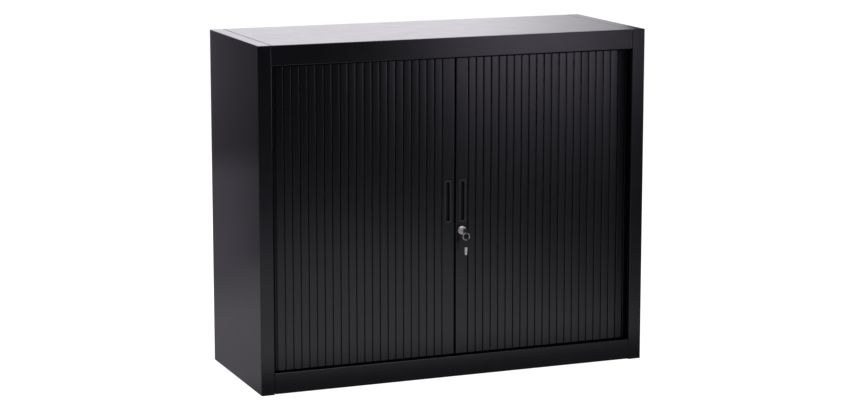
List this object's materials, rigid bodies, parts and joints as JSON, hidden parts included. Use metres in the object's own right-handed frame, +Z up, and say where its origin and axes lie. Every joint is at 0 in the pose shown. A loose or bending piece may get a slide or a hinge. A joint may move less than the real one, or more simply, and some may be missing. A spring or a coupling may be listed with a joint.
{
  "type": "tambour door cabinet",
  "caption": "Low free-standing steel cabinet closed by a pair of sideways sliding tambour doors, with recessed finger cups, a key lock where the doors meet and shelves inside.",
  "frame": {"origin": "on the floor, at the middle of the space that the cabinet and the key in its lock take", "axes": "+X to the viewer's right along the front, +Y from the doors to the back, +Z up"},
  "size_m": [1.2, 0.484, 1],
  "materials": {
    "powder_coat": "satin black powder coat with a fine orange peel",
    "liner": "matt black powder coat",
    "slat_plastic": "extruded plastic, satin",
    "stile_metal": "satin black powder coat",
    "black_plastic": "moulded, fine spark texture",
    "rubber": "matt",
    "chrome": "polished nickel plate",
    "steel": "zinc plated"
  },
  "bodies": {
    "cabinet": {"top_panel": "powder_coat", "floor_pan": "powder_coat", "ceiling_pan": "powder_coat", "back_panel": "powder_coat", "back_liner": "liner", "shelf_lower": "liner", "shelf_upper": "liner", "left_side_casing": "powder_coat", "left_inner_wall": "liner", "left_bottom_track": "black_plastic", "left_top_track": "black_plastic", "left_track_stop": "rubber", "left_back_screw_low": "steel", "left_back_screw_high": "steel", "clip_lower_front_left": "steel", "clip_lower_rear_left": "steel", "clip_upper_front_left": "steel", "clip_upper_rear_left": "steel", "right_side_casing": "powder_coat", "right_inner_wall": "liner", "right_bottom_track": "black_plastic", "right_top_track": "black_plastic", "right_track_stop": "rubber", "right_back_screw_low": "steel", "right_back_screw_high": "steel", "clip_lower_front_right": "steel", "clip_lower_rear_right": "steel", "clip_upper_front_right": "steel", "clip_upper_rear_right": "steel", "foot_bracket_front_left": "powder_coat", "foot_bracket_rear_left": "powder_coat", "foot_bracket_front_right": "powder_coat", "foot_bracket_rear_right": "powder_coat"},
    "left_door": {"left_curtain": "slat_plastic", "left_stile": "stile_metal", "left_finger_cup": "black_plastic", "left_bottom_shoe": "black_plastic", "left_top_shoe": "black_plastic", "centre_strip": "rubber", "lock_striker": "steel"},
    "right_door": {"right_curtain": "slat_plastic", "right_stile": "stile_metal", "right_finger_cup": "black_plastic", "right_bottom_shoe": "black_plastic", "right_top_shoe": "black_plastic", "lock_housing": "chrome", "lock_nut": "steel"},
    "lock": {"lock_plug": "chrome", "lock_hook": "steel", "hook_screw": "steel"},
    "key": {"key_blade": "chrome", "key_bow": "black_plastic"},
    "ring": {"key_ring": "chrome"},
    "spare_key": {"spare_key_blade": "chrome", "spare_key_bow": "black_plastic"},
    "foot_front_left": {"foot_front_left": "black_plastic"},
    "foot_rear_left": {"foot_rear_left": "black_plastic"},
    "foot_front_right": {"foot_front_right": "black_plastic"},
    "foot_rear_right": {"foot_rear_right": "black_plastic"}
  },
  "joints": [
    {"name": "left_door_slide", "type": "slide", "parent": "cabinet", "child": "left_door", "axis": [-1, 0, 0], "range_m": [0, 0.51], "deforming": ["left_curtain"]},
    {"name": "right_door_slide", "type": "slide", "parent": "cabinet", "child": "right_door", "axis": [1, 0, 0], "range_m": [0, 0.51], "deforming": ["right_curtain"]},
    {"name": "lock_turn", "type": "hinge", "parent": "right_door", "child": "lock", "pos_m": [0.0215, -0.18, 0.433], "axis": [0, -1, 0], "range_deg": [0, 90]},
    {"name": "key_withdraw", "type": "slide", "parent": "lock", "child": "key", "axis": [0, -1, 0], "range_m": [0, 0.016]},
    {"name": "key_ring_swing", "type": "hinge", "parent": "key", "child": "ring", "pos_m": [0.0215, -0.235, 0.4301], "axis": [-1, 0, 0], "range_deg": [-20, 75]},
    {"name": "spare_key_swing", "type": "hinge", "parent": "ring", "child": "spare_key", "pos_m": [0.0215, -0.235, 0.4097], "axis": [1, 0, 0], "range_deg": [-35, 35]},
    {"name": "foot_front_left_screw", "type": "slide", "parent": "cabinet", "child": "foot_front_left", "axis": [0, 0, -1], "range_m": [0, 0.012]},
    {"name": "foot_rear_left_screw", "type": "slide", "parent": "cabinet", "child": "foot_rear_left", "axis": [0, 0, -1], "range_m": [0, 0.012]},
    {"name": "foot_front_right_screw", "type": "slide", "parent": "cabinet", "child": "foot_front_right", "axis": [0, 0, -1], "range_m": [0, 0.012]},
    {"name": "foot_rear_right_screw", "type": "slide", "parent": "cabinet", "child": "foot_rear_right", "axis": [0, 0, -1], "range_m": [0, 0.012]}
  ]
}
